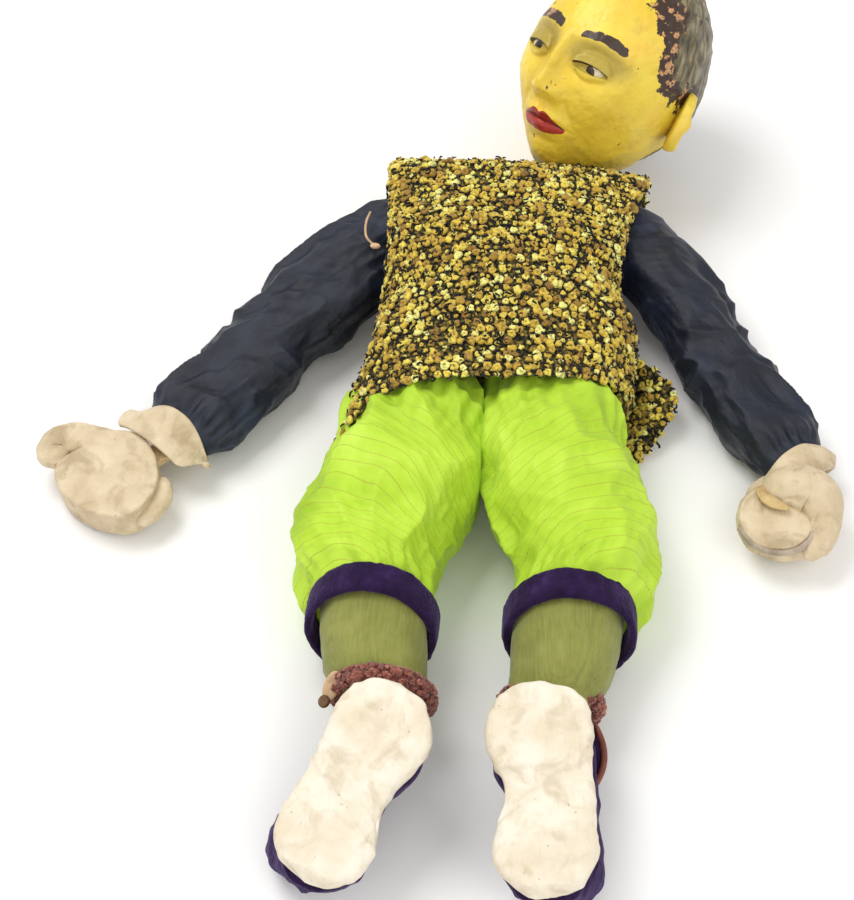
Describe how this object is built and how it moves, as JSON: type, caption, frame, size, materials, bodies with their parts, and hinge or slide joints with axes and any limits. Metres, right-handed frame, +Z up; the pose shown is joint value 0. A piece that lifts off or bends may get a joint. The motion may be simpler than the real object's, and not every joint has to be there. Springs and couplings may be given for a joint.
{
  "type": "jointed cloth-bodied puppet",
  "caption": "Full-bodied jointed puppet with a carved head, padded cloth limbs on wooden bars, mitten hands and slippers, lying on its back.",
  "frame": {"origin": "centre of the bounding box in X and Y, on the face the puppet's back lies on", "axes": "+X towards the puppet's left hand, +Y from the feet to the crown, +Z up from its back to its chest"},
  "size_m": [0.6102, 0.8234, 0.2025],
  "materials": {
    "brass": "plain brass",
    "calico": "undyed calico over wadding",
    "cream_leather": "cream kid leather, soiled",
    "lime_cotton": "lime-green quilted cotton, rust topstitch",
    "navy_satin": "dark navy satin",
    "olive_jersey": "olive-green stocking cloth",
    "pine": "bare pine",
    "purple_velvet": "dark purple felt and velvet",
    "rust_chenille": "reddish-brown chenille",
    "steel": "plain steel wire",
    "tweed": "gold, yellow and black boucle tweed",
    "yellow_paint": "worn ochre-yellow paint on carved wood"
  },
  "bodies": {
    "torso": {"trunk_frame": "pine", "right_shoulder_pin": "steel", "left_shoulder_pin": "steel", "neck_base_pin": "steel", "hip_pin": "steel", "trunk_padding": "calico", "vest_front": "tweed", "vest_back": "tweed", "trousers_seat": "lime_cotton"},
    "neck": {"neck_bar": "pine", "nod_pin": "steel", "neck_collar": "navy_satin"},
    "neck_stem": {"neck_stem": "pine"},
    "head": {"head": "yellow_paint"},
    "right_shoulder_link": {"right_shoulder_link": "pine"},
    "right_upper_arm": {"right_upper_arm_bar": "pine", "right_shoulder_swing_pin": "steel", "right_elbow_pin": "steel", "right_upper_sleeve": "navy_satin"},
    "right_forearm": {"right_forearm_bar": "pine", "right_wrist_pin": "brass", "right_lower_sleeve": "navy_satin", "right_cuff": "cream_leather"},
    "right_hand": {"right_hand": "cream_leather", "right_wrist_tongue": "pine"},
    "right_thigh": {"right_thigh_bar": "pine", "right_knee_pin": "steel", "right_trouser_leg": "lime_cotton", "right_knee_band": "purple_velvet"},
    "right_knee_link": {"right_knee_link": "pine"},
    "right_shin": {"right_shin_bar": "pine", "right_shin_stocking": "olive_jersey", "right_ankle_pin": "steel"},
    "right_foot": {"right_foot_tongue": "pine", "right_shoe_upper": "purple_velvet", "right_shoe_sole": "cream_leather", "right_shoe_collar": "rust_chenille"},
    "left_shoulder_link": {"left_shoulder_link": "pine"},
    "left_upper_arm": {"left_upper_arm_bar": "pine", "left_shoulder_swing_pin": "steel", "left_elbow_pin": "steel", "left_upper_sleeve": "navy_satin"},
    "left_forearm": {"left_forearm_bar": "pine", "left_wrist_pin": "brass", "left_lower_sleeve": "navy_satin", "left_cuff": "cream_leather"},
    "left_hand": {"left_hand": "cream_leather", "left_wrist_tongue": "pine"},
    "left_thigh": {"left_thigh_bar": "pine", "left_knee_pin": "steel", "left_trouser_leg": "lime_cotton", "left_knee_band": "purple_velvet"},
    "left_knee_link": {"left_knee_link": "pine"},
    "left_shin": {"left_shin_bar": "pine", "left_shin_stocking": "olive_jersey", "left_ankle_pin": "steel"},
    "left_foot": {"left_foot_tongue": "pine", "left_shoe_upper": "purple_velvet", "left_shoe_sole": "cream_leather", "left_shoe_collar": "rust_chenille"}
  },
  "joints": [
    {"name": "neck_lean", "type": "hinge", "parent": "torso", "child": "neck", "pos_m": [0.01637, 0.19429, 0.047], "axis": [0, 0, 1], "range_deg": [0, 65], "deforming": ["neck_collar", "vest_front"]},
    {"name": "head_nod", "type": "hinge", "parent": "neck", "child": "neck_stem", "pos_m": [0.05137, 0.25491, 0.025], "axis": [0.866, -0.5, 0], "range_deg": [-60, 8], "deforming": ["neck_collar", "vest_front"]},
    {"name": "head_turn", "type": "hinge", "parent": "neck_stem", "child": "head", "pos_m": [0.05137, 0.25491, 0.025], "axis": [0.3473, 0.6016, 0.7193], "range_deg": [-35, 55], "deforming": ["neck_collar", "vest_front"]},
    {"name": "right_shoulder_raise", "type": "hinge", "parent": "torso", "child": "right_shoulder_link", "pos_m": [-0.07305, 0.1841, 0.047], "axis": [0, 0, -1], "range_deg": [-10, 50], "deforming": ["right_upper_sleeve", "vest_front"]},
    {"name": "right_shoulder_swing", "type": "hinge", "parent": "right_shoulder_link", "child": "right_upper_arm", "pos_m": [-0.08886, 0.1586, 0.047], "axis": [-0.8499, 0.5269, 0], "range_deg": [0, 50], "deforming": ["right_upper_sleeve", "vest_front"]},
    {"name": "right_elbow", "type": "hinge", "parent": "right_upper_arm", "child": "right_forearm", "pos_m": [-0.15559, 0.05097, 0.0375], "axis": [-0.8499, 0.5269, 0], "range_deg": [0, 90], "deforming": ["right_upper_sleeve", "right_lower_sleeve"]},
    {"name": "right_wrist", "type": "hinge", "parent": "right_forearm", "child": "right_hand", "pos_m": [-0.22233, -0.05667, 0.02801], "axis": [0.0394, 0.0636, -0.9972], "range_deg": [-52, 24]},
    {"name": "right_hip", "type": "hinge", "parent": "torso", "child": "right_thigh", "pos_m": [-0.03132, -0.01114, 0.048], "axis": [-0.9936, -0.1132, 0], "range_deg": [0, 80], "deforming": ["right_trouser_leg", "trousers_seat", "vest_front"]},
    {"name": "right_knee", "type": "hinge", "parent": "right_thigh", "child": "right_knee_link", "pos_m": [-0.02744, -0.1891, 0.048], "axis": [0.9998, 0.0218, 0], "range_deg": [0, 100], "deforming": ["right_trouser_leg", "right_knee_band"]},
    {"name": "right_shin_turn", "type": "hinge", "parent": "right_knee_link", "child": "right_shin", "pos_m": [-0.02744, -0.1891, 0.048], "axis": [-0.0218, 0.9998, 0], "range_deg": [0, 180], "deforming": ["right_knee_band"]},
    {"name": "right_ankle", "type": "hinge", "parent": "right_shin", "child": "right_foot", "pos_m": [-0.02526, -0.28908, 0.048], "axis": [0.9469, -0.3214, 0], "range_deg": [-15, 30], "deforming": ["right_shin_stocking", "right_shoe_collar"]},
    {"name": "left_shoulder_raise", "type": "hinge", "parent": "torso", "child": "left_shoulder_link", "pos_m": [0.10579, 0.20448, 0.047], "axis": [0, 0, 1], "range_deg": [0, 50], "deforming": ["left_upper_sleeve", "vest_front"]},
    {"name": "left_shoulder_swing", "type": "hinge", "parent": "left_shoulder_link", "child": "left_upper_arm", "pos_m": [0.12283, 0.17979, 0.047], "axis": [-0.823, -0.568, 0], "range_deg": [0, 50], "deforming": ["left_upper_sleeve", "vest_front"]},
    {"name": "left_elbow", "type": "hinge", "parent": "left_upper_arm", "child": "left_forearm", "pos_m": [0.19477, 0.07556, 0.0375], "axis": [-0.823, -0.568, 0], "range_deg": [0, 90], "deforming": ["left_upper_sleeve", "left_lower_sleeve"]},
    {"name": "left_wrist", "type": "hinge", "parent": "left_forearm", "child": "left_hand", "pos_m": [0.2667, -0.02867, 0.028], "axis": [-0.0425, 0.0616, -0.9972], "range_deg": [-73, 3]},
    {"name": "left_hip", "type": "hinge", "parent": "torso", "child": "left_thigh", "pos_m": [0.06406, -0.00028, 0.048], "axis": [-0.9936, -0.1132, 0], "range_deg": [0, 80], "deforming": ["left_trouser_leg", "trousers_seat", "vest_front"]},
    {"name": "left_knee", "type": "hinge", "parent": "left_thigh", "child": "left_knee_link", "pos_m": [0.0828, -0.17729, 0.048], "axis": [0.9944, 0.1053, 0], "range_deg": [0, 100], "deforming": ["left_trouser_leg", "left_knee_band"]},
    {"name": "left_shin_turn", "type": "hinge", "parent": "left_knee_link", "child": "left_shin", "pos_m": [0.0828, -0.17729, 0.048], "axis": [0.1053, -0.9944, 0], "range_deg": [0, 180], "deforming": ["left_knee_band"]},
    {"name": "left_ankle", "type": "hinge", "parent": "left_shin", "child": "left_foot", "pos_m": [0.09332, -0.27673, 0.048], "axis": [0.9902, 0.1399, 0], "range_deg": [-15, 30], "deforming": ["left_shin_stocking", "left_shoe_collar"]}
  ]
}
